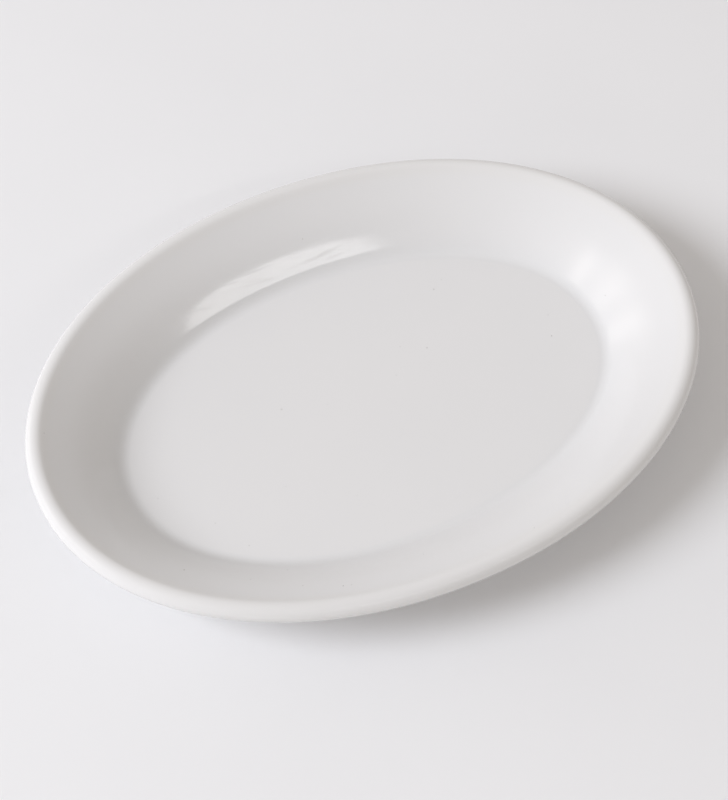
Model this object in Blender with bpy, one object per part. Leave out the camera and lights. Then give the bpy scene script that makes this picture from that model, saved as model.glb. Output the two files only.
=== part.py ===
"""Oval serving platter of vitreous china.

One fired piece with a wide sloping rim, a rolled edge, a cove down to a flat well, and an
unglazed foot ring. It is modelled as the three bodies of material that it is made of:

    china_body    the clay body, bare only on the foot ring that it stands on
    face_glaze    the glass coat over the face, the rolled edge and the outer underside
    recess_glaze  the glass coat inside the foot ring

Frame: the origin is on the standing plane under the middle of the oval, +X runs along the
longer axis and +Z is up. Every section point is a pair (inset, height), where inset is the
distance in from the centre line of the rolled edge. All sizes are in metres.
"""

import math

import bmesh
import bpy
from mathutils import Vector

# Overall size
LENGTH = 0.318
WIDTH = 0.235
HEIGHT = 0.035
OVAL_POWER = 2.04            # 2 is a plain ellipse, a little more squares it slightly

# Rolled edge and rim
EDGE_RADIUS = 0.0048         # radius of the rolled edge's round section
EDGE_FILLET = 0.0030         # hollow fillet where the rolled edge meets the rim's underside
RIM_SLOPE = math.radians(34.5)
WALL_THICKNESS = 0.0056      # measured square to the surface, glaze included

# Cove between the rim and the well
SHOULDER_INSET = 0.0190      # middle of the bend from the rim into the cove
SHOULDER_SPAN = 0.0160
TOE_INSET = 0.0357           # middle of the bend from the cove into the well
TOE_SPAN = 0.0075
WELL_HEIGHT = 0.0075         # the well's surface above the standing plane

# Foot ring and the recess inside it
UNDERSIDE_END_INSET = 0.0358  # where the underside stops following the face
FOOT_WIDTH = 0.0056           # over the glaze on both of its sides
FOOT_ROUND = 0.0006
RECESS_HEIGHT = 0.0020
RECESS_FILLET_RUN = 0.0012    # how far the hollow fillet reaches in from the foot ring
RECESS_FILLET_DROP = 0.00024  # its fall from the recess at a third of that run

# Glaze
GLAZE_THICKNESS = 0.0004
GLAZE_GAP = 0.0003           # clearance between the glaze and the clay body
GLAZE_LINE_HEIGHT = 0.0010   # the glaze is wiped back to here, so the foot stands dry

# Finishes
FACE_GLAZE_COLOR = (0.80, 0.80, 0.79)
FACE_GLAZE_ROUGHNESS = 0.08
RECESS_GLAZE_COLOR = (0.79, 0.79, 0.78)
RECESS_GLAZE_ROUGHNESS = 0.10
CLAY_COLOR = (0.76, 0.74, 0.70)
CLAY_ROUGHNESS = 0.70
SHARP_ANGLE = math.radians(40.0)  # edges that bend more than this are shaded as corners

# Resolution
SPOKES = 72
FACE_STATIONS = 14
UNDERSIDE_STATIONS = 8
EDGE_STEPS = 8               # over the outer half turn of the rolled edge
FLAT_RING_INSET = 0.0580     # a ring inside the flats, which keeps their triangles compact

EDGE_HEIGHT = HEIGHT - EDGE_RADIUS
TANGENT_INSET = EDGE_RADIUS * math.sin(RIM_SLOPE)
TANGENT_HEIGHT = EDGE_HEIGHT + EDGE_RADIUS * math.cos(RIM_SLOPE)
RIM_GRADE = math.tan(RIM_SLOPE)
COVE_GRADE = (
    (TANGENT_HEIGHT - WELL_HEIGHT - RIM_GRADE * (SHOULDER_INSET - TANGENT_INSET))
    / (TOE_INSET - SHOULDER_INSET)
)


def clear_scene():
    """Remove every object that the scene holds."""
    for thing in list(bpy.data.objects):
        bpy.data.objects.remove(thing, do_unlink=True)


def blend(inset, middle, span):
    """Rise smoothly from 0 to 1 over a span around its middle."""
    share = min(max((inset - middle) / span + 0.5, 0.0), 1.0)
    return share * share * (3.0 - 2.0 * share)


def blend_area(inset, middle, span):
    """Area under the smooth rise up to an inset."""
    share = (inset - middle) / span + 0.5
    if share <= 0.0:
        return 0.0
    if share >= 1.0:
        return span * (share - 0.5)
    return span * (share ** 3 - 0.5 * share ** 4)


def face_grade(inset):
    """Fall of the face per metre of inset."""
    shoulder = (COVE_GRADE - RIM_GRADE) * blend(inset, SHOULDER_INSET, SHOULDER_SPAN)
    toe = COVE_GRADE * blend(inset, TOE_INSET, TOE_SPAN)
    return RIM_GRADE + shoulder - toe


def face_height(inset):
    """Height of the glazed face at an inset."""
    fall = RIM_GRADE * (inset - TANGENT_INSET)
    fall += (COVE_GRADE - RIM_GRADE) * blend_area(inset, SHOULDER_INSET, SHOULDER_SPAN)
    fall -= COVE_GRADE * blend_area(inset, TOE_INSET, TOE_SPAN)
    return TANGENT_HEIGHT - fall


def spaced(first, last, count):
    """Evenly spaced numbers from first to last, both included."""
    return [first + (last - first) * step / (count - 1) for step in range(count)]


def face_section():
    """Points of the face, from inside the well out to the rolled edge."""
    well_edge = TOE_INSET + TOE_SPAN / 2.0
    points = [Vector((FLAT_RING_INSET, WELL_HEIGHT))]
    for inset in spaced(well_edge, TANGENT_INSET, FACE_STATIONS):
        points.append(Vector((inset, face_height(inset))))
    return points


def edge_direction(turn):
    """Unit (inset, height) vector at an angle from straight up, turning outwards."""
    return Vector((-math.sin(turn), math.cos(turn)))


def edge_section():
    """Points around the rolled edge and its fillet, from its top down to the underside."""
    middle = Vector((0.0, EDGE_HEIGHT))
    reach = EDGE_RADIUS + EDGE_FILLET
    drop = WALL_THICKNESS - EDGE_RADIUS + EDGE_FILLET
    end_turn = math.pi - RIM_SLOPE + math.acos(drop / reach)
    turns = spaced(0.0, math.pi, EDGE_STEPS + 1) + [(math.pi + end_turn) / 2.0, end_turn]
    points = [middle + EDGE_RADIUS * edge_direction(turn) for turn in turns]
    fillet_middle = middle + reach * edge_direction(end_turn)
    start = end_turn - math.pi
    halfway = (start - RIM_SLOPE) / 2.0
    points.append(fillet_middle + EDGE_FILLET * edge_direction(halfway))
    return points


def underside_section():
    """Points of the underside, from the rolled edge's fillet in to the foot ring."""
    reach = EDGE_RADIUS + EDGE_FILLET
    drop = WALL_THICKNESS - EDGE_RADIUS + EDGE_FILLET
    along = math.sqrt(reach * reach - drop * drop)
    start = TANGENT_INSET + along * math.cos(RIM_SLOPE)
    points = []
    for inset in spaced(start, UNDERSIDE_END_INSET, UNDERSIDE_STATIONS):
        grade = face_grade(inset)
        stretch = math.sqrt(1.0 + grade * grade)
        points.append(Vector((
            inset - WALL_THICKNESS * grade / stretch,
            face_height(inset) - WALL_THICKNESS / stretch,
        )))
    return points


def outer_section():
    """The glazed outline from the well, over the rolled edge, down to the glaze line."""
    points = face_section() + edge_section() + underside_section()
    foot_outer = points[-1].x
    points.append(Vector((foot_outer, GLAZE_LINE_HEIGHT)))
    return points


def recess_section(foot_outer):
    """The glazed outline inside the foot ring, from its middle out to the glaze line."""
    foot_inner = foot_outer + FOOT_WIDTH
    return [
        Vector((FLAT_RING_INSET, RECESS_HEIGHT)),
        Vector((foot_inner + RECESS_FILLET_RUN, RECESS_HEIGHT)),
        Vector((foot_inner + RECESS_FILLET_RUN / 3.0, RECESS_HEIGHT - RECESS_FILLET_DROP)),
        Vector((foot_inner, GLAZE_LINE_HEIGHT)),
    ]


def offset_section(points, amount):
    """Move a section sideways by an amount, which is positive to the left.

    Left is as seen by someone who walks along it, with inset to the right and height up.
    """
    normals = []
    for start, end in zip(points, points[1:]):
        along = (end - start).normalized()
        normals.append(Vector((-along.y, along.x)))
    before = [normals[0]] + normals
    after = normals + [normals[-1]]
    moved = []
    for point, first, second in zip(points, before, after):
        mitre = (first + second) / (1.0 + first.dot(second))
        moved.append(point + amount * mitre)
    return moved


def oval_ring(inset, height):
    """Points of one level oval, at an inset from the rolled edge's centre line."""
    half_length = LENGTH / 2.0 - EDGE_RADIUS - inset
    half_width = WIDTH / 2.0 - EDGE_RADIUS - inset
    ring = []
    for spoke in range(SPOKES):
        turn = math.tau * spoke / SPOKES
        across = math.cos(turn)
        along = math.sin(turn)
        power_sum = abs(across) ** OVAL_POWER + abs(along) ** OVAL_POWER
        reach = power_sum ** (-1.0 / OVAL_POWER)
        ring.append(Vector((half_length * reach * across, half_width * reach * along, height)))
    return ring


def build_oval_solid(name, section, material):
    """Extrude a flat oval ring by ring along a section, and close it with a second flat."""
    mesh_builder = bmesh.new()
    spoke_layer = mesh_builder.verts.layers.int.new("spoke")
    first_ring = []
    for spoke, position in enumerate(oval_ring(*section[0])):
        corner = mesh_builder.verts.new(position)
        corner[spoke_layer] = spoke
        first_ring.append(corner)
    mesh_builder.faces.new(first_ring)
    rim_edges = list(mesh_builder.edges)
    for point in section[1:]:
        extruded = bmesh.ops.extrude_edge_only(mesh_builder, edges=rim_edges)["geom"]
        positions = oval_ring(*point)
        for item in extruded:
            if isinstance(item, bmesh.types.BMVert):
                item.co = positions[item[spoke_layer]]
        rim_edges = [
            item for item in extruded
            if isinstance(item, bmesh.types.BMEdge) and item.is_boundary
        ]
    bmesh.ops.edgeloop_fill(mesh_builder, edges=rim_edges)
    bmesh.ops.recalc_face_normals(mesh_builder, faces=mesh_builder.faces)

    mesh = bpy.data.meshes.new(name)
    mesh_builder.to_mesh(mesh)
    mesh_builder.free()
    mesh.materials.append(material)
    mesh.shade_smooth()
    mesh.set_sharp_from_angle(angle=SHARP_ANGLE)
    thing = bpy.data.objects.new(name, mesh)
    bpy.context.scene.collection.objects.link(thing)
    return thing


def make_material(name, color, roughness):
    """Make a plain non-metal material."""
    material = bpy.data.materials.new(name)
    material.use_nodes = True
    shader = material.node_tree.nodes["Principled BSDF"]
    shader.inputs["Base Color"].default_value = (*color, 1.0)
    shader.inputs["Roughness"].default_value = roughness
    shader.inputs["Metallic"].default_value = 0.0
    return material


def build_face_glaze(outer):
    """Glass coat over the face, the rolled edge and the outer underside."""
    inside = offset_section(outer, GLAZE_THICKNESS)
    material = make_material("face_glaze", FACE_GLAZE_COLOR, FACE_GLAZE_ROUGHNESS)
    return build_oval_solid("face_glaze", outer + inside[::-1], material)


def build_recess_glaze(recess):
    """Glass coat inside the foot ring."""
    inside = offset_section(recess, -GLAZE_THICKNESS)
    material = make_material("recess_glaze", RECESS_GLAZE_COLOR, RECESS_GLAZE_ROUGHNESS)
    return build_oval_solid("recess_glaze", recess + inside[::-1], material)


def build_china_body(outer, recess):
    """Clay body, which stands on its bare foot ring."""
    depth = GLAZE_THICKNESS + GLAZE_GAP
    outside = offset_section(outer, depth)
    inside = offset_section(recess, -depth)
    foot_start = outside[-1].x
    foot_end = inside[-1].x
    foot = [
        Vector((foot_start, FOOT_ROUND)),
        Vector((foot_start + FOOT_ROUND, 0.0)),
        Vector((foot_end - FOOT_ROUND, 0.0)),
        Vector((foot_end, FOOT_ROUND)),
    ]
    material = make_material("china_body", CLAY_COLOR, CLAY_ROUGHNESS)
    return build_oval_solid("china_body", outside + foot + inside[::-1], material)


def build_platter():
    """Build the three bodies of the platter."""
    outer = outer_section()
    recess = recess_section(outer[-1].x)
    build_china_body(outer, recess)
    build_face_glaze(outer)
    build_recess_glaze(recess)


clear_scene()
build_platter()
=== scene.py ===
"""Looks of an oval china serving platter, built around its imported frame.

The platter is one fired piece: a clay body, and two coats of white glaze that stop short of
the bare foot ring. Each is thrown here as a smooth sheet of oval rings and given its wall.
All sizes are in metres, +X runs along the longer axis of the oval and +Z is up.
"""

import logging
import math
from collections.abc import Sequence
from dataclasses import dataclass, field
from enum import Enum

import bpy
import numpy as np
from mathutils import Matrix, Quaternion, Vector


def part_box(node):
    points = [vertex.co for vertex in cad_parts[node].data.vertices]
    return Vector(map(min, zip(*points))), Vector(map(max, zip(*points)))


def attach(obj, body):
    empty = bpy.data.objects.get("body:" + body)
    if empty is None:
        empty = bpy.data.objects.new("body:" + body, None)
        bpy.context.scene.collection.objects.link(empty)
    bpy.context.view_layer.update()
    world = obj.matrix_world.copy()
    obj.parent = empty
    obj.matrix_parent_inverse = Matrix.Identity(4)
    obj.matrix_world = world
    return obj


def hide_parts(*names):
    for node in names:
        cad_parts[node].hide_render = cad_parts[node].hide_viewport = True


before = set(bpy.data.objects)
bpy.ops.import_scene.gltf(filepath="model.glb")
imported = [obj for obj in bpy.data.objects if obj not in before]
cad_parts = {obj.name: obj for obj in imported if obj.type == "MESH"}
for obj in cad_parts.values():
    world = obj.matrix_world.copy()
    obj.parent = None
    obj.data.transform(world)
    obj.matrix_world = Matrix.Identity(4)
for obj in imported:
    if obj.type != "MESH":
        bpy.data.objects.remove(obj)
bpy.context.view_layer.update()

log = logging.getLogger("platter")
ORIGIN = (0.0, 0.0, 0.0)
HAIRLINE_CREST = (0.66, 0.72)  # the part of a noise that is drawn as a hairline
Colour = tuple[float, float, float]


class Coat(Enum):
    """The three bodies of material, by the name of their node."""

    BODY = "china_body"
    FACE = "face_glaze"
    RECESS = "recess_glaze"


class Facing(Enum):
    """Which way the middle of a thrown sheet faces."""

    UP = 1.0
    DOWN = -1.0


@dataclass(frozen=True)
class Station:
    """One level oval of a sheet.

    Attributes:
        half_length: Half of the oval's size along X.
        half_width: Half of the oval's size along Y.
        height: Height of the oval.
        thinness: How far the glaze has drawn thin here, from 0 to 1.
        pooling: How far the glaze has run together here, from 0 to 1.
    """

    half_length: float
    half_width: float
    height: float
    thinness: float = 0.0
    pooling: float = 0.0


def spaced(first: float, last: float, count: int) -> list[float]:
    """Space numbers evenly.

    Args:
        first: The first number.
        last: The last number.
        count: How many numbers there are, both ends included.

    Returns:
        The numbers, in order.
    """
    return [float(value) for value in np.linspace(first, last, count)]


def bell(distance: float, spread: float) -> float:
    """Fall smoothly from 1 to 0 with distance.

    Args:
        distance: How far off the middle it is.
        spread: The distance at which about a third is left.

    Returns:
        The height of the bell.
    """
    return math.exp(-((distance / spread) ** 2))


@dataclass(frozen=True)
class PlatterForm:
    """The platter's section and oval. A section point is (inset, height).

    The inset is the distance in from the centre line of the rolled edge.
    """

    length: float
    width: float
    height: float
    oval_power: float = 2.04
    edge_radius: float = 0.0048
    edge_fillet: float = 0.0030
    rim_slope: float = math.radians(34.5)
    wall_thickness: float = 0.0056
    shoulder_inset: float = 0.0190
    shoulder_span: float = 0.0160
    toe_inset: float = 0.0357
    toe_span: float = 0.0075
    well_height: float = 0.0075
    underside_end_inset: float = 0.0358
    foot_width: float = 0.0056
    foot_round: float = 0.0006
    recess_height: float = 0.0020
    recess_fillet_run: float = 0.0012
    glaze_thickness: float = 0.0004
    glaze_gap: float = 0.0003
    glaze_line_height: float = 0.0010

    @classmethod
    def of_frame(cls) -> "PlatterForm":
        """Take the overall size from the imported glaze.

        Returns:
            The form at that size.
        """
        low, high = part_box(Coat.FACE.value)
        return cls(high.x - low.x, high.y - low.y, high.z)

    @property
    def edge_height(self) -> float:
        """Height of the rolled edge's centre line."""
        return self.height - self.edge_radius

    @property
    def tangent_inset(self) -> float:
        """Inset at which the rim runs into the rolled edge."""
        return self.edge_radius * math.sin(self.rim_slope)

    @property
    def tangent_height(self) -> float:
        """Height at which the rim runs into the rolled edge."""
        return self.edge_height + self.edge_radius * math.cos(self.rim_slope)

    @property
    def rim_grade(self) -> float:
        """Fall of the rim per metre of inset."""
        return math.tan(self.rim_slope)

    @property
    def cove_grade(self) -> float:
        """Fall of the cove per metre of inset, which takes the face down to the well."""
        rim_fall = self.rim_grade * (self.shoulder_inset - self.tangent_inset)
        cove_fall = self.tangent_height - self.well_height - rim_fall
        return cove_fall / (self.toe_inset - self.shoulder_inset)

    @property
    def well_inset(self) -> float:
        """Inset at which the well is flat."""
        return self.toe_inset + self.toe_span / 2.0

    @staticmethod
    def blend(inset: float, middle: float, span: float) -> float:
        """Rise smoothly from 0 to 1 over a bend.

        Args:
            inset: Where the rise is wanted.
            middle: The middle of the bend.
            span: The width of the bend.

        Returns:
            The rise.
        """
        share = min(max((inset - middle) / span + 0.5, 0.0), 1.0)
        return share * share * (3.0 - 2.0 * share)

    @staticmethod
    def blend_area(inset: float, middle: float, span: float) -> float:
        """Add up the rise over a bend.

        Args:
            inset: Where the sum ends.
            middle: The middle of the bend.
            span: The width of the bend.

        Returns:
            The area under the rise.
        """
        share = (inset - middle) / span + 0.5
        if share <= 0.0:
            return 0.0
        if share >= 1.0:
            return span * (share - 0.5)
        return span * (share**3 - 0.5 * share**4)

    def face_grade(self, inset: float) -> float:
        """Give the fall of the face.

        Args:
            inset: Where the fall is wanted.

        Returns:
            The fall per metre of inset.
        """
        shoulder = self.blend(inset, self.shoulder_inset, self.shoulder_span)
        toe = self.blend(inset, self.toe_inset, self.toe_span)
        steeper = self.cove_grade - self.rim_grade
        return self.rim_grade + steeper * shoulder - self.cove_grade * toe

    def face_height(self, inset: float) -> float:
        """Give the height of the glazed face.

        Args:
            inset: Where the height is wanted.

        Returns:
            The height.
        """
        steeper = self.cove_grade - self.rim_grade
        fall = self.rim_grade * (inset - self.tangent_inset)
        fall += steeper * self.blend_area(inset, self.shoulder_inset, self.shoulder_span)
        fall -= self.cove_grade * self.blend_area(inset, self.toe_inset, self.toe_span)
        return self.tangent_height - fall

    def edge_direction(self, turn: float) -> np.ndarray:
        """Unit section vector at an angle from straight up, turning outwards."""
        return np.array([-math.sin(turn), math.cos(turn)])

    def face_section(self, count: int) -> list[np.ndarray]:
        """Follow the face from the edge of the well out to the rolled edge.

        Args:
            count: How many points to give.

        Returns:
            The section points.
        """
        insets = spaced(self.well_inset, self.tangent_inset, count)
        return [np.array([inset, self.face_height(inset)]) for inset in insets]

    def edge_section(self, edge_count: int, fillet_count: int) -> list[np.ndarray]:
        """Go round the rolled edge and its fillet to the underside.

        Args:
            edge_count: How many points lie on the rolled edge.
            fillet_count: How many points lie on the fillet behind it.

        Returns:
            The section points, without the one that the face ends on.
        """
        middle = np.array([0.0, self.edge_height])
        reach = self.edge_radius + self.edge_fillet
        drop = self.wall_thickness - self.edge_radius + self.edge_fillet
        end_turn = math.pi - self.rim_slope + math.acos(drop / reach)
        turns = spaced(-self.rim_slope, end_turn, edge_count)[1:]
        edge = [middle + self.edge_radius * self.edge_direction(turn) for turn in turns]
        fillet_middle = middle + reach * self.edge_direction(end_turn)
        turns = spaced(end_turn - math.pi, -self.rim_slope, fillet_count)[1:]
        fillet = [
            fillet_middle + self.edge_fillet * self.edge_direction(turn) for turn in turns
        ]
        return edge + fillet

    def underside_section(self, count: int) -> list[np.ndarray]:
        """Follow the underside from the rolled edge's fillet in to the foot ring.

        Args:
            count: How many points to give.

        Returns:
            The section points, without the one that the fillet ends on.
        """
        reach = self.edge_radius + self.edge_fillet
        drop = self.wall_thickness - self.edge_radius + self.edge_fillet
        along = math.sqrt(reach * reach - drop * drop)
        start = self.tangent_inset + along * math.cos(self.rim_slope)
        points = []
        for inset in spaced(start, self.underside_end_inset, count)[1:]:
            grade = self.face_grade(inset)
            stretch = math.hypot(1.0, grade)
            points.append(
                np.array(
                    [
                        inset - self.wall_thickness * grade / stretch,
                        self.face_height(inset) - self.wall_thickness / stretch,
                    ]
                )
            )
        return points

    @property
    def foot_outer(self) -> float:
        """Inset of the foot ring's outer side, over the glaze."""
        return float(self.underside_section(2)[-1][0])

    @property
    def foot_inner(self) -> float:
        """Inset of the foot ring's inner side, over the glaze."""
        return self.foot_outer + self.foot_width

    @property
    def recess_flat_inset(self) -> float:
        """Inset at which the recess is flat."""
        return self.foot_inner + self.recess_fillet_run

    def oval(self, inset: float) -> tuple[float, float]:
        """Give the half sizes of the oval at an inset.

        Args:
            inset: Distance in from the rolled edge's centre line.

        Returns:
            Half of the length and half of the width.
        """
        shrink = self.edge_radius + inset
        return self.length / 2.0 - shrink, self.width / 2.0 - shrink

    def rounded(self, corner: float, across: float) -> float:
        """Factor that takes a point of the unit circle onto the unit oval."""
        power = self.oval_power
        return (abs(corner) ** power + abs(across) ** power) ** (-1.0 / power)


@dataclass
class OvalWheel:
    """Throws a sheet: a flat oval is drawn out ring by ring along its stations."""

    form: PlatterForm
    spokes: int = 320

    def throw(
        self, name: str, stations: Sequence[Station], facing: Facing
    ) -> bpy.types.Object:
        """Draw out one sheet with the modelling operators.

        Args:
            name: The piece's name.
            stations: The ovals, from the middle of the piece outwards.
            facing: Which way the middle of the sheet faces.

        Returns:
            The sheet, as an object at the origin.
        """
        bpy.ops.object.select_all(action="DESELECT")
        bpy.ops.mesh.primitive_circle_add(
            vertices=self.spokes, radius=1.0, fill_type="NGON", location=ORIGIN
        )
        piece = bpy.context.object
        piece.name = piece.data.name = name
        for vertex in piece.data.vertices:
            vertex.co *= self.form.rounded(vertex.co.x, vertex.co.y)
        bpy.ops.object.mode_set(mode="EDIT")
        bpy.ops.mesh.select_mode(type="EDGE")
        bpy.ops.mesh.select_all(action="SELECT")
        first = stations[0]
        self.resize(first.half_length, first.half_width)
        bpy.ops.transform.translate(value=(0.0, 0.0, first.height))
        for before, after in zip(stations, stations[1:]):
            rise = (0.0, 0.0, after.height - before.height)
            bpy.ops.mesh.extrude_edges_move(TRANSFORM_OT_translate={"value": rise})
            self.resize(
                after.half_length / before.half_length, after.half_width / before.half_width
            )
        bpy.ops.object.mode_set(mode="OBJECT")
        self.record_flow(piece, stations)
        self.face_outwards(piece, facing)
        return piece

    @staticmethod
    def resize(along: float, across: float) -> None:
        """Scale what is selected about the upright axis."""
        bpy.ops.transform.resize(value=(along, across, 1.0), center_override=ORIGIN)

    def record_flow(self, piece: bpy.types.Object, stations: Sequence[Station]) -> None:
        """Write how the glaze has flowed at every station onto the mesh.

        Args:
            piece: The sheet, whose vertices follow the stations in order.
            stations: The stations that it was drawn through.
        """
        for name in ("thinness", "pooling"):
            per_ring = [getattr(station, name) for station in stations]
            values = np.repeat(np.array(per_ring, np.float32), self.spokes)
            layer = piece.data.attributes.new(name, "FLOAT", "POINT")
            layer.data.foreach_set("value", values)

    @staticmethod
    def face_outwards(piece: bpy.types.Object, facing: Facing) -> None:
        """Turn a sheet's faces so that its middle faces the way it should.

        Args:
            piece: The sheet.
            facing: Which way its middle faces.
        """
        bpy.ops.object.mode_set(mode="EDIT")
        bpy.ops.mesh.select_all(action="SELECT")
        bpy.ops.mesh.normals_make_consistent(inside=False)
        bpy.ops.object.mode_set(mode="OBJECT")
        if piece.data.polygons[0].normal.z * facing.value < 0.0:
            bpy.ops.object.mode_set(mode="EDIT")
            bpy.ops.mesh.select_all(action="SELECT")
            bpy.ops.mesh.flip_normals()
            bpy.ops.object.mode_set(mode="OBJECT")


def apply_modifier(piece: bpy.types.Object, modifier: bpy.types.Modifier) -> None:
    """Apply one modifier of a piece."""
    bpy.context.view_layer.objects.active = piece
    bpy.ops.object.modifier_apply(modifier=modifier.name)


def smooth(piece: bpy.types.Object, sharp_angle: float) -> None:
    """Shade a piece smooth, but for edges sharper than an angle."""
    bpy.ops.object.select_all(action="DESELECT")
    piece.select_set(True)
    bpy.context.view_layer.objects.active = piece
    bpy.ops.object.shade_smooth_by_angle(angle=sharp_angle)


class NodeBench:
    """Lays out the nodes of one material."""

    def __init__(self, name: str) -> None:
        """Start a material that holds one Principled shader.

        Args:
            name: The material's name.
        """
        self.material = bpy.data.materials.new(name)
        self.material.use_nodes = True
        self.tree = self.material.node_tree
        self.shader = self.tree.nodes["Principled BSDF"]
        self.place = self.add("ShaderNodeTexCoord").outputs["Object"]

    def add(self, kind: str, **settings: object) -> bpy.types.Node:
        """Add a node.

        Args:
            kind: The node's type.
            **settings: Its properties, by name.

        Returns:
            The node.
        """
        node = self.tree.nodes.new(kind)
        for name, value in settings.items():
            setattr(node, name, value)
        return node

    def join(self, source: bpy.types.NodeSocket, target: bpy.types.NodeSocket) -> None:
        """Link two sockets."""
        self.tree.links.new(source, target)

    def noise(self, size: float, detail: float) -> bpy.types.NodeSocket:
        """Make a cloudy noise.

        Args:
            size: The size of its blotches, in metres.
            detail: How many finer layers it has.

        Returns:
            The noise, from 0 to 1.
        """
        texture = self.add("ShaderNodeTexNoise")
        texture.inputs["Scale"].default_value = 1.0 / size
        texture.inputs["Detail"].default_value = detail
        self.join(self.place, texture.inputs["Vector"])
        return texture.outputs["Fac"]

    def ranged(
        self,
        source: bpy.types.NodeSocket,
        inputs: tuple[float, float],
        outputs: tuple[float, float],
    ) -> bpy.types.NodeSocket:
        """Map a value from one range to another, and hold it at the ends.

        Args:
            source: The value.
            inputs: The range that it comes from.
            outputs: The range that it goes to.

        Returns:
            The mapped value.
        """
        node = self.add("ShaderNodeMapRange")
        self.join(source, node.inputs["Value"])
        node.inputs["From Min"].default_value = inputs[0]
        node.inputs["From Max"].default_value = inputs[1]
        node.inputs["To Min"].default_value = outputs[0]
        node.inputs["To Max"].default_value = outputs[1]
        return node.outputs["Result"]

    def combine(
        self,
        operation: str,
        first: bpy.types.NodeSocket,
        second: bpy.types.NodeSocket | float,
    ) -> bpy.types.NodeSocket:
        """Do arithmetic on two values.

        Args:
            operation: The Math node's operation.
            first: The first value.
            second: The second value, a socket or a number.

        Returns:
            The result.
        """
        node = self.add("ShaderNodeMath", operation=operation)
        self.join(first, node.inputs[0])
        if isinstance(second, bpy.types.NodeSocket):
            self.join(second, node.inputs[1])
        else:
            node.inputs[1].default_value = second
        return node.outputs[0]

    def flow(self, name: str) -> bpy.types.NodeSocket:
        """Read one of the values that the wheel wrote onto the mesh."""
        return self.add("ShaderNodeAttribute", attribute_name=name).outputs["Fac"]

    def tinted(
        self,
        under: bpy.types.NodeSocket | Colour,
        over: Colour,
        share: bpy.types.NodeSocket,
    ) -> bpy.types.NodeSocket:
        """Lay one colour over another.

        Args:
            under: The colour beneath, a socket or a colour.
            over: The colour on top.
            share: How much of it there is.

        Returns:
            The mixed colour.
        """
        node = self.add("ShaderNodeMix", data_type="RGBA")
        factor, bottom, top = node.inputs[0], node.inputs[6], node.inputs[7]
        self.join(share, factor)
        if isinstance(under, bpy.types.NodeSocket):
            self.join(under, bottom)
        else:
            bottom.default_value = (*under, 1.0)
        top.default_value = (*over, 1.0)
        return node.outputs[2]

    def bumped(
        self,
        height: bpy.types.NodeSocket,
        depth: float,
        onto: bpy.types.NodeSocket | None = None,
    ) -> bpy.types.NodeSocket:
        """Raise a bump.

        Args:
            height: The bump's height, from 0 to 1.
            depth: The height of a full bump, in metres.
            onto: The normal that the bump is added to, if any.

        Returns:
            The bumped normal.
        """
        node = self.add("ShaderNodeBump")
        node.inputs["Distance"].default_value = depth
        self.join(height, node.inputs["Height"])
        if onto is not None:
            self.join(onto, node.inputs["Normal"])
        return node.outputs["Normal"]

    def specks(self, spacing: float, radius: float, rarity: float) -> bpy.types.NodeSocket:
        """Scatter small round specks, seen from above.

        Args:
            spacing: The distance between places where one could be.
            radius: A speck's radius.
            rarity: The share of those places that stay empty.

        Returns:
            1 in a speck and 0 outside.
        """
        cells = self.add("ShaderNodeTexVoronoi", voronoi_dimensions="2D")
        cells.inputs["Scale"].default_value = 1.0 / spacing
        self.join(self.place, cells.inputs["Vector"])
        size = radius / spacing
        near = self.ranged(cells.outputs["Distance"], (0.5 * size, size), (1.0, 0.0))
        split = self.add("ShaderNodeSeparateColor")
        self.join(cells.outputs["Color"], split.inputs["Color"])
        chosen = self.combine("GREATER_THAN", split.outputs["Red"], rarity)
        return self.combine("MULTIPLY", near, chosen)

    def scratches(self, length: float, gap: float, turn: float) -> bpy.types.NodeSocket:
        """Draw faint straight hairlines.

        Args:
            length: How long a hairline runs.
            gap: The rough distance between hairlines.
            turn: Their direction about the upright axis, in radians.

        Returns:
            1 in a hairline and 0 outside.
        """
        mapping = self.add("ShaderNodeMapping")
        mapping.inputs["Rotation"].default_value = (0.0, 0.0, turn)
        mapping.inputs["Scale"].default_value = (1.0 / length, 1.0 / gap, 1.0 / length)
        self.join(self.place, mapping.inputs["Vector"])
        texture = self.add("ShaderNodeTexNoise")
        texture.inputs["Scale"].default_value = 1.0
        texture.inputs["Detail"].default_value = 1.0
        self.join(mapping.outputs["Vector"], texture.inputs["Vector"])
        return self.ranged(texture.outputs["Fac"], HAIRLINE_CREST, (0.0, 1.0))


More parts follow.
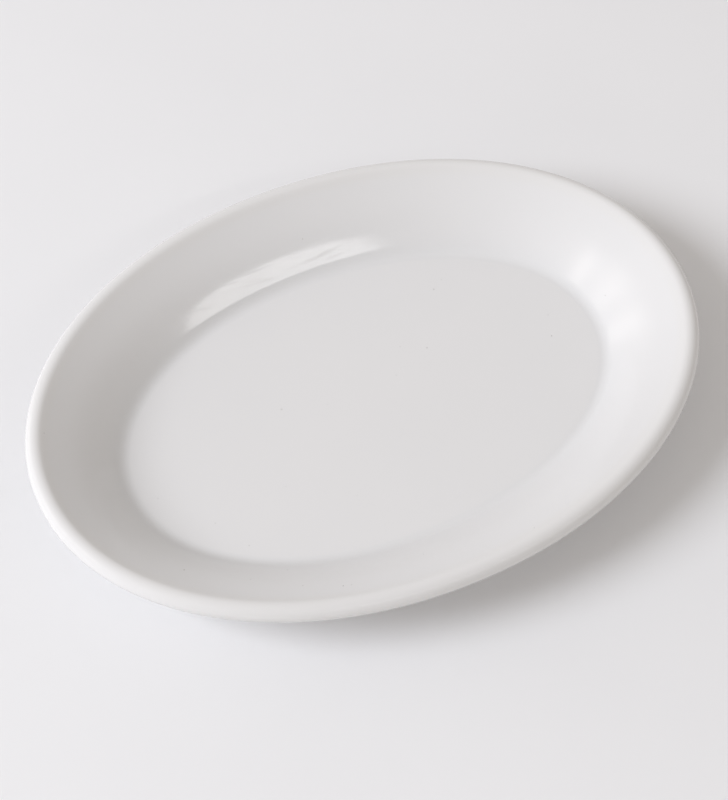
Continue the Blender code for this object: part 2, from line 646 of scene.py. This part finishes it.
@dataclass(frozen=True)
class GlazeFinish:
    """Opaque white glaze: glossy, with a soft orange peel, pinholes and table wear."""

    name: str
    white: Colour = (0.805, 0.80, 0.795)
    pooled: Colour = (0.78, 0.78, 0.778)
    drawn_thin: Colour = (0.80, 0.79, 0.775)
    speck: Colour = (0.16, 0.13, 0.10)
    speck_rarity: float = 0.95
    speck_strength: float = 0.6
    gloss: tuple[float, float] = (0.045, 0.085)
    wear: float = 0.10
    refraction: float = 1.52
    blotch_size: float = 0.055
    blotch_relief: float = 0.00006
    peel_size: float = 0.009
    peel_relief: float = 0.000012
    pit_depth: float = 0.00008
    large_specks: tuple[float, float] = (0.019, 0.00034)
    small_specks: tuple[float, float] = (0.009, 0.00020)

    def make(self) -> bpy.types.Material:
        """Build the finish.

        Returns:
            The material.
        """
        bench = NodeBench(self.name)
        shader = bench.shader
        blotch = bench.noise(self.blotch_size, 3.0)
        peel = bench.noise(self.peel_size, 2.0)

        thin = bench.combine(
            "MULTIPLY", bench.flow("thinness"), bench.ranged(blotch, (0.3, 0.6), (0.35, 1.0))
        )
        pooled = bench.combine("MULTIPLY", bench.flow("pooling"), 0.8)
        colour = bench.tinted(self.white, self.pooled, pooled)
        colour = bench.tinted(colour, self.drawn_thin, thin)
        mottle = bench.ranged(blotch, (0.35, 0.75), (0.0, 0.35))
        colour = bench.tinted(colour, self.pooled, mottle)
        marks = bench.combine(
            "MAXIMUM",
            bench.specks(*self.large_specks, self.speck_rarity),
            bench.specks(*self.small_specks, 0.5 + 0.5 * self.speck_rarity),
        )
        speckled = bench.combine("MULTIPLY", marks, self.speck_strength)
        colour = bench.tinted(colour, self.speck, speckled)
        bench.join(colour, shader.inputs["Base Color"])

        lines = bench.combine(
            "MAXIMUM", bench.scratches(0.030, 0.0009, 0.6), bench.scratches(0.022, 0.0011, 2.1)
        )
        rough = bench.ranged(blotch, (0.3, 0.7), self.gloss)
        rough = bench.combine("ADD", rough, bench.combine("MULTIPLY", lines, self.wear))
        bench.join(rough, shader.inputs["Roughness"])

        normal = bench.bumped(blotch, self.blotch_relief)
        normal = bench.bumped(peel, self.peel_relief, normal)
        pits = bench.combine("MULTIPLY", marks, -1.0)
        normal = bench.bumped(pits, self.pit_depth, normal)
        bench.join(normal, shader.inputs["Normal"])
        shader.inputs["IOR"].default_value = self.refraction
        return bench.material


@dataclass(frozen=True)
class BareClayFinish:
    """Fired clay without glaze: dry, finely gritty, greyed where it has slid on tables."""

    name: str
    clay: Colour = (0.74, 0.71, 0.66)
    iron: Colour = (0.52, 0.44, 0.35)
    scuff: Colour = (0.42, 0.40, 0.38)
    roughness: tuple[float, float] = (0.62, 0.85)
    cloud_size: float = 0.020
    grit_size: float = 0.0006
    grit_relief: float = 0.00005
    scuff_strength: float = 0.45

    def make(self) -> bpy.types.Material:
        """Build the finish.

        Returns:
            The material.
        """
        bench = NodeBench(self.name)
        shader = bench.shader
        cloud = bench.noise(self.cloud_size, 3.0)
        grit = bench.noise(self.grit_size, 3.0)
        spotted = bench.combine("MULTIPLY", bench.specks(0.004, 0.0002, 0.7), 0.6)
        colour = bench.tinted(self.clay, self.iron, bench.ranged(cloud, (0.5, 0.8), (0.0, 0.3)))
        colour = bench.tinted(colour, self.iron, spotted)
        rubbed = bench.combine(
            "MAXIMUM", bench.scratches(0.006, 0.0008, 0.3), bench.scratches(0.008, 0.0007, 1.7)
        )
        scuffed = bench.combine("MULTIPLY", rubbed, self.scuff_strength)
        colour = bench.tinted(colour, self.scuff, scuffed)
        bench.join(colour, shader.inputs["Base Color"])
        rough = bench.ranged(grit, (0.3, 0.7), self.roughness)
        bench.join(rough, shader.inputs["Roughness"])
        normal = bench.bumped(grit, self.grit_relief)
        bench.join(normal, shader.inputs["Normal"])
        return bench.material


@dataclass(frozen=True)
class TableFinish:
    """Matt white table top with the faintest tooth."""

    name: str = "white_table"
    white: Colour = (0.88, 0.88, 0.885)
    shade: Colour = (0.865, 0.865, 0.87)
    roughness: float = 0.75
    refraction: float = 1.3
    cloud_size: float = 0.16
    tooth_size: float = 0.0018
    tooth_relief: float = 0.00003

    def make(self) -> bpy.types.Material:
        """Build the finish.

        Returns:
            The material.
        """
        bench = NodeBench(self.name)
        shader = bench.shader
        cloud = bench.noise(self.cloud_size, 3.0)
        tooth = bench.noise(self.tooth_size, 3.0)
        colour = bench.tinted(self.white, self.shade, bench.ranged(cloud, (0.4, 0.7), (0.0, 1.0)))
        bench.join(colour, shader.inputs["Base Color"])
        shader.inputs["Roughness"].default_value = self.roughness
        shader.inputs["IOR"].default_value = self.refraction
        bench.join(bench.bumped(tooth, self.tooth_relief), shader.inputs["Normal"])
        return bench.material


@dataclass
class GlazeCoat:
    """A coat of glaze: a thin wall of its own, with a slightly uneven surface."""

    form: PlatterForm
    wheel: OvalWheel
    coat: Coat
    facing: Facing
    finish: GlazeFinish
    unevenness: float = 0.00003
    unevenness_size: float = 0.035
    lip_round: float = 0.00012
    lip_angle: float = math.radians(60.0)
    sharp_angle: float = math.radians(50.0)
    first_oval: float = 0.03

    def stations(self) -> list[Station]:
        """Give the stations of the coat's outer surface.

        Returns:
            The stations, from the middle outwards.
        """
        raise NotImplementedError

    def build(self) -> bpy.types.Object:
        """Throw the sheet, let its surface settle and give it its wall.

        Returns:
            The finished coat.
        """
        piece = self.wheel.throw(self.coat.value + "_coat", self.stations(), self.facing)
        self.settle(piece)
        self.thicken(piece)
        smooth(piece, self.sharp_angle)
        self.dress(piece)
        return piece

    def settle(self, piece: bpy.types.Object) -> None:
        """Sink the surface a little and unevenly, as a fired glaze lies.

        Args:
            piece: The sheet.
        """
        clouds = bpy.data.textures.new(piece.name + "_settling", "CLOUDS")
        clouds.noise_scale = self.unevenness_size
        clouds.noise_depth = 1
        sink = piece.modifiers.new("settle", "DISPLACE")
        sink.texture = clouds
        sink.texture_coords = "LOCAL"
        sink.mid_level = 1.0
        sink.strength = self.unevenness
        apply_modifier(piece, sink)

    def thicken(self, piece: bpy.types.Object) -> None:
        """Give the sheet its wall and round the lip at the glaze line.

        Args:
            piece: The sheet.
        """
        wall = piece.modifiers.new("wall", "SOLIDIFY")
        wall.thickness = self.form.glaze_thickness
        wall.offset = -1.0
        wall.use_even_offset = True
        apply_modifier(piece, wall)
        lip = piece.modifiers.new("lip", "BEVEL")
        lip.width = self.lip_round
        lip.segments = 2
        lip.limit_method = "ANGLE"
        lip.angle_limit = self.lip_angle
        apply_modifier(piece, lip)

    def dress(self, piece: bpy.types.Object) -> None:
        """Give the coat its finish and tie it to the frame.

        Args:
            piece: The coat.
        """
        piece.data.materials.clear()
        piece.data.materials.append(self.finish.make())
        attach(piece, "root")
        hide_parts(self.coat.value)


@dataclass
class FaceGlaze(GlazeCoat):
    """The coat over the face, the rolled edge and the outer underside."""

    well_rings: int = 12
    face_rings: int = 40
    edge_rings: int = 26
    fillet_rings: int = 7
    underside_rings: int = 18
    foot_rings: int = 4
    thin_reach: float = 0.0012
    pool_reach: float = 0.006

    def stations(self) -> list[Station]:
        """Go from the middle of the well over the edge to the glaze line.

        Returns:
            The stations.
        """
        form = self.form
        well_length, well_width = form.oval(form.well_inset)
        found = [
            Station(well_length * share, well_width * share, form.well_height)
            for share in spaced(self.first_oval, 1.0, self.well_rings)[:-1]
        ]
        section = form.face_section(self.face_rings)
        section += form.edge_section(self.edge_rings, self.fillet_rings)
        section += form.underside_section(self.underside_rings)
        foot_top = float(section[-1][1])
        for height in spaced(foot_top, form.glaze_line_height, self.foot_rings)[1:]:
            section.append(np.array([form.foot_outer, height]))
        for inset, height in section:
            found.append(self.station(float(inset), float(height)))
        return found

    def station(self, inset: float, height: float) -> Station:
        """Place one oval and say how the glaze has flowed there.

        Args:
            inset: The section point's inset.
            height: The section point's height.

        Returns:
            The station.
        """
        form = self.form
        from_edge = math.hypot(inset, height - form.edge_height) - form.edge_radius
        thinness = bell(max(from_edge, 0.0), self.thin_reach)
        pooling = 0.0
        if height > form.well_height:
            pooling = bell(inset - form.toe_inset, self.pool_reach)
        return Station(*form.oval(inset), height, thinness, pooling)


@dataclass
class RecessGlaze(GlazeCoat):
    """The coat inside the foot ring."""

    flat_rings: int = 16
    side_rings: int = 7

    def stations(self) -> list[Station]:
        """Go from the middle of the recess out and down to the glaze line.

        Returns:
            The stations.
        """
        form = self.form
        flat_inset = form.recess_flat_inset
        flat_length, flat_width = form.oval(flat_inset)
        found = [
            Station(flat_length * share, flat_width * share, form.recess_height)
            for share in spaced(self.first_oval, 1.0, self.flat_rings)
        ]
        drop = form.recess_height - form.glaze_line_height
        for share in spaced(0.0, 1.0, self.side_rings)[1:]:
            inset = flat_inset + (form.foot_inner - flat_inset) * math.sin(share * math.pi / 2)
            height = form.recess_height - drop * (1.0 - math.cos(share * math.pi / 2))
            found.append(Station(*form.oval(inset), height, share, 1.0 - share))
        return found


@dataclass
class ClayBody:
    """The fired body, which shows only at the bare foot ring."""

    form: PlatterForm
    wheel: OvalWheel
    finish: BareClayFinish
    face_rings: int = 14
    edge_rings: int = 14
    fillet_rings: int = 4
    underside_rings: int = 10
    foot_steps: int = 5
    flat_reach: float = 0.010
    sharp_angle: float = math.radians(45.0)

    @property
    def depth(self) -> float:
        """How deep the clay lies under the glazed surface."""
        return self.form.glaze_thickness + self.form.glaze_gap

    def under_glaze(self, section: Sequence[np.ndarray], side: float) -> list[np.ndarray]:
        """Move a glazed section in to the clay.

        Args:
            section: The section's points, in order.
            side: 1 to move to the left of its direction and -1 to the right.

        Returns:
            The moved points.
        """
        normals = []
        for start, end in zip(section, section[1:]):
            along = (end - start) / np.linalg.norm(end - start)
            normals.append(np.array([-along[1], along[0]]))
        moved = []
        for point, first, second in zip(section, normals[:1] + normals, normals + normals[-1:]):
            mitre = (first + second) / (1.0 + float(first @ second))
            moved.append(point + side * self.depth * mitre)
        return moved

    def rounded_corner(self, start: np.ndarray, end: np.ndarray) -> list[np.ndarray]:
        """Turn a quarter circle that starts upright.

        Args:
            start: The corner's first point.
            end: The corner's last point.

        Returns:
            The points between and at the end.
        """
        points = []
        for share in spaced(0.0, 1.0, self.foot_steps)[1:]:
            turn = share * math.pi / 2.0
            reach = np.array([1.0 - math.cos(turn), math.sin(turn)])
            points.append(start + (end - start) * reach)
        return points

    def section(self) -> list[np.ndarray]:
        """Go round the body, from under the well to the recess.

        Returns:
            The section points.
        """
        form = self.form
        flat = form.well_inset + self.flat_reach
        outer = [np.array([flat, form.well_height])]
        outer += form.face_section(self.face_rings)
        outer += form.edge_section(self.edge_rings, self.fillet_rings)
        outer += form.underside_section(self.underside_rings)
        outer.append(np.array([form.foot_outer, form.glaze_line_height]))
        outer = self.under_glaze(outer, 1.0)
        inner = [
            np.array([flat, form.recess_height]),
            np.array([form.recess_flat_inset, form.recess_height]),
            np.array([form.foot_inner, form.glaze_line_height]),
        ]
        inner = self.under_glaze(inner, -1.0)
        foot_start, foot_end = outer[-1][0], inner[-1][0]
        corner = np.array([foot_start, form.foot_round])
        floor = np.array([foot_start + form.foot_round, 0.0])
        foot = [corner] + self.rounded_corner(corner, floor)
        corner = np.array([foot_end, form.foot_round])
        floor = np.array([foot_end - form.foot_round, 0.0])
        foot += [floor] + self.rounded_corner(corner, floor)[-2::-1] + [corner]
        return outer + foot + inner[::-1]

    def build(self) -> bpy.types.Object:
        """Throw the body, and close it under the recess.

        Returns:
            The finished body.
        """
        stations = [
            Station(*self.form.oval(float(inset)), float(height))
            for inset, height in self.section()
        ]
        piece = self.wheel.throw(Coat.BODY.value + "_clay", stations, Facing.UP)
        bpy.ops.object.mode_set(mode="EDIT")
        bpy.ops.mesh.select_all(action="DESELECT")
        bpy.ops.mesh.select_non_manifold()
        bpy.ops.mesh.edge_face_add()
        bpy.ops.mesh.select_all(action="SELECT")
        bpy.ops.mesh.normals_make_consistent(inside=False)
        bpy.ops.object.mode_set(mode="OBJECT")
        smooth(piece, self.sharp_angle)
        piece.data.materials.clear()
        piece.data.materials.append(self.finish.make())
        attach(piece, "root")
        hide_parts(Coat.BODY.value)
        return piece


@dataclass(frozen=True)
class SoftLight:
    """A soft oval light that faces the platter.

    Attributes:
        name: The light's name.
        azimuth: Where it stands, in degrees from -Y towards +X.
        elevation: How high it stands, in degrees.
        distance: How far away it is.
        width: Its size across.
        height: Its size up.
        radiance: How bright its face is.
        tilt: How far its end of greater azimuth is raised, in degrees.
        mirrored: Whether the glaze shows its image, or only its light.
        tint: Its colour.
    """

    name: str
    azimuth: float
    elevation: float
    distance: float
    width: float
    height: float
    radiance: float
    tilt: float = 0.0
    mirrored: bool = True
    tint: Colour = (1.0, 1.0, 1.0)

    def build(self) -> bpy.types.Object:
        """Hang the light.

        Returns:
            The light.
        """
        lamp = bpy.data.lights.new(self.name, "AREA")
        lamp.shape = "ELLIPSE"
        lamp.size = self.width
        lamp.size_y = self.height
        lamp.color = self.tint
        area = math.pi / 4.0 * self.width * self.height
        lamp.energy = math.pi * area * self.radiance
        thing = bpy.data.objects.new(self.name, lamp)
        bpy.context.scene.collection.objects.link(thing)
        towards = compass(self.azimuth, self.elevation)
        thing.location = towards * self.distance
        tilted = Quaternion((0.0, 0.0, 1.0), math.radians(self.tilt))
        thing.rotation_euler = (towards.to_track_quat("Z", "Y") @ tilted).to_euler()
        thing.visible_camera = False
        thing.visible_glossy = self.mirrored
        return thing


def compass(azimuth: float, elevation: float) -> Vector:
    """Point in a direction.

    Args:
        azimuth: Degrees from -Y towards +X.
        elevation: Degrees above the horizon.

    Returns:
        The unit vector.
    """
    around, above = math.radians(azimuth), math.radians(elevation)
    return Vector(
        (
            math.sin(around) * math.cos(above),
            -math.cos(around) * math.cos(above),
            math.sin(above),
        )
    )


@dataclass(frozen=True)
class Glow:
    """A stretch of the room's walls that shines softly, with no edge.

    Attributes:
        azimuth: Where its middle is, in degrees from -Y towards +X.
        elevation: How high its middle is, in degrees.
        radiance: How bright its middle is.
        spread: How far off the middle about a third is left, in degrees.
    """

    azimuth: float
    elevation: float
    radiance: float
    spread: float


@dataclass(frozen=True)
class ViewCamera:
    """The camera, which looks down on the platter from its near left."""

    azimuth: float = -25.18
    elevation: float = 55.31
    roll: float = -0.79
    distance: float = 0.868
    slide: tuple[float, float] = (-0.00219, 0.00432)
    lens: float = 83.6
    sensor: float = 36.0
    clip: tuple[float, float] = (0.01, 100.0)

    def build(self) -> bpy.types.Object:
        """Set up the camera and make it the scene's.

        Returns:
            The camera.
        """
        back = compass(self.azimuth, self.elevation)
        turn = math.radians(self.azimuth)
        level = Vector((math.cos(turn), math.sin(turn), 0.0))
        upright = back.cross(level)
        roll = math.radians(self.roll)
        right = math.cos(roll) * level + math.sin(roll) * upright
        up = back.cross(right)
        data = bpy.data.cameras.new("view")
        data.lens = self.lens
        data.sensor_width = self.sensor
        data.clip_start, data.clip_end = self.clip
        camera = bpy.data.objects.new("view", data)
        bpy.context.scene.collection.objects.link(camera)
        turned = Matrix((right, up, back)).transposed().to_4x4()
        place = back * self.distance + right * self.slide[0] + up * self.slide[1]
        camera.matrix_world = Matrix.Translation(place) @ turned
        bpy.context.scene.camera = camera
        return camera


@dataclass
class Studio:
    """The table, the soft lights and the pale room around them."""

    table_radius: float = 6.0
    table_corners: int = 96
    table_border: float = 3.0
    table_finish: TableFinish = TableFinish()
    room_light: float = 0.475
    room_tint: Colour = (1.05, 0.995, 0.955)
    glows: tuple[Glow, ...] = (
        Glow(-99.0, 34.4, 1.8, 6.5),
        Glow(-121.0, 27.0, 1.4, 10.5),
        Glow(-145.0, 15.6, 1.3, 9.0),
    )
    lights: tuple[SoftLight, ...] = (
        SoftLight(
            "window", -100.0, 37.5, 3.1, 1.55, 1.55, 10.1, mirrored=False, tint=(0.945, 0.98, 1.06)
        ),
        SoftLight("front_strip", 19.0, 40.6, 4.0, 4.6, 0.17, 4.4, tilt=-12.0),
    )

    def build(self) -> None:
        """Lay the table, hang the lights and light the room."""
        self.lay_table()
        for light in self.lights:
            light.build()
        self.light_room()

    def lay_table(self) -> None:
        """Lay a wide round table top under the platter."""
        bpy.ops.object.select_all(action="DESELECT")
        bpy.ops.mesh.primitive_circle_add(
            vertices=self.table_corners,
            radius=self.table_radius,
            fill_type="NGON",
            location=ORIGIN,
        )
        table = bpy.context.object
        table.name = table.data.name = "table"
        bpy.ops.object.mode_set(mode="EDIT")
        bpy.ops.mesh.select_all(action="SELECT")
        bpy.ops.mesh.inset(thickness=self.table_border)
        bpy.ops.object.mode_set(mode="OBJECT")
        table.data.materials.append(self.table_finish.make())

    def light_room(self) -> None:
        """Fill the room with even light, and make its walls glow."""
        world = bpy.data.worlds.new("room")
        world.use_nodes = True
        tree = world.node_tree
        strength = None
        for glow in self.glows:
            strength = self.add_glow(tree, glow, strength)
        background = tree.nodes["Background"]
        background.inputs["Color"].default_value = (*self.room_tint, 1.0)
        tree.links.new(strength, background.inputs["Strength"])
        bpy.context.scene.world = world
        bpy.context.scene.view_settings.view_transform = "Standard"

    def add_glow(
        self,
        tree: bpy.types.NodeTree,
        glow: Glow,
        under: bpy.types.NodeSocket | None,
    ) -> bpy.types.NodeSocket:
        """Add one glow to the room's light.

        Args:
            tree: The room's nodes.
            glow: The glow.
            under: The light that it is added to, or None for the plain room.

        Returns:
            The light with the glow in it.
        """
        direction = tree.nodes.new("ShaderNodeTexCoord").outputs["Generated"]
        facing = tree.nodes.new("ShaderNodeVectorMath")
        facing.operation = "DOT_PRODUCT"
        facing.inputs[1].default_value = compass(glow.azimuth, glow.elevation)
        tree.links.new(direction, facing.inputs[0])
        value = facing.outputs["Value"]
        sharpness = 1.0 / (1.0 - math.cos(math.radians(glow.spread)))
        steps = (
            ("SUBTRACT", 1.0),
            ("MULTIPLY", sharpness),
            ("EXPONENT", None),
            ("MULTIPLY", glow.radiance),
            ("ADD", self.room_light if under is None else under),
        )
        for operation, operand in steps:
            node = tree.nodes.new("ShaderNodeMath")
            node.operation = operation
            tree.links.new(value, node.inputs[0])
            if isinstance(operand, bpy.types.NodeSocket):
                tree.links.new(operand, node.inputs[1])
            elif operand is not None:
                node.inputs[1].default_value = operand
            value = node.outputs[0]
        return value


@dataclass
class Platter:
    """The whole platter."""

    form: PlatterForm = field(default_factory=PlatterForm.of_frame)

    def build(self) -> list[bpy.types.Object]:
        """Build the clay and both coats of glaze.

        Returns:
            The pieces.
        """
        wheel = OvalWheel(self.form)
        face_finish = GlazeFinish("face_glaze_finish")
        recess_finish = GlazeFinish("recess_glaze_finish", speck_rarity=0.88)
        parts = (
            ClayBody(self.form, wheel, BareClayFinish("bare_clay_finish")),
            FaceGlaze(self.form, wheel, Coat.FACE, Facing.UP, face_finish),
            RecessGlaze(self.form, wheel, Coat.RECESS, Facing.DOWN, recess_finish),
        )
        return [part.build() for part in parts]


def main() -> None:
    """Build the platter, the studio and the camera."""
    logging.basicConfig(level=logging.INFO, format="%(name)s: %(message)s")
    for piece in Platter().build():
        log.info("%s has %d faces", piece.name, len(piece.data.polygons))
    Studio().build()
    ViewCamera().build()


if __name__ == "__main__":
    main()
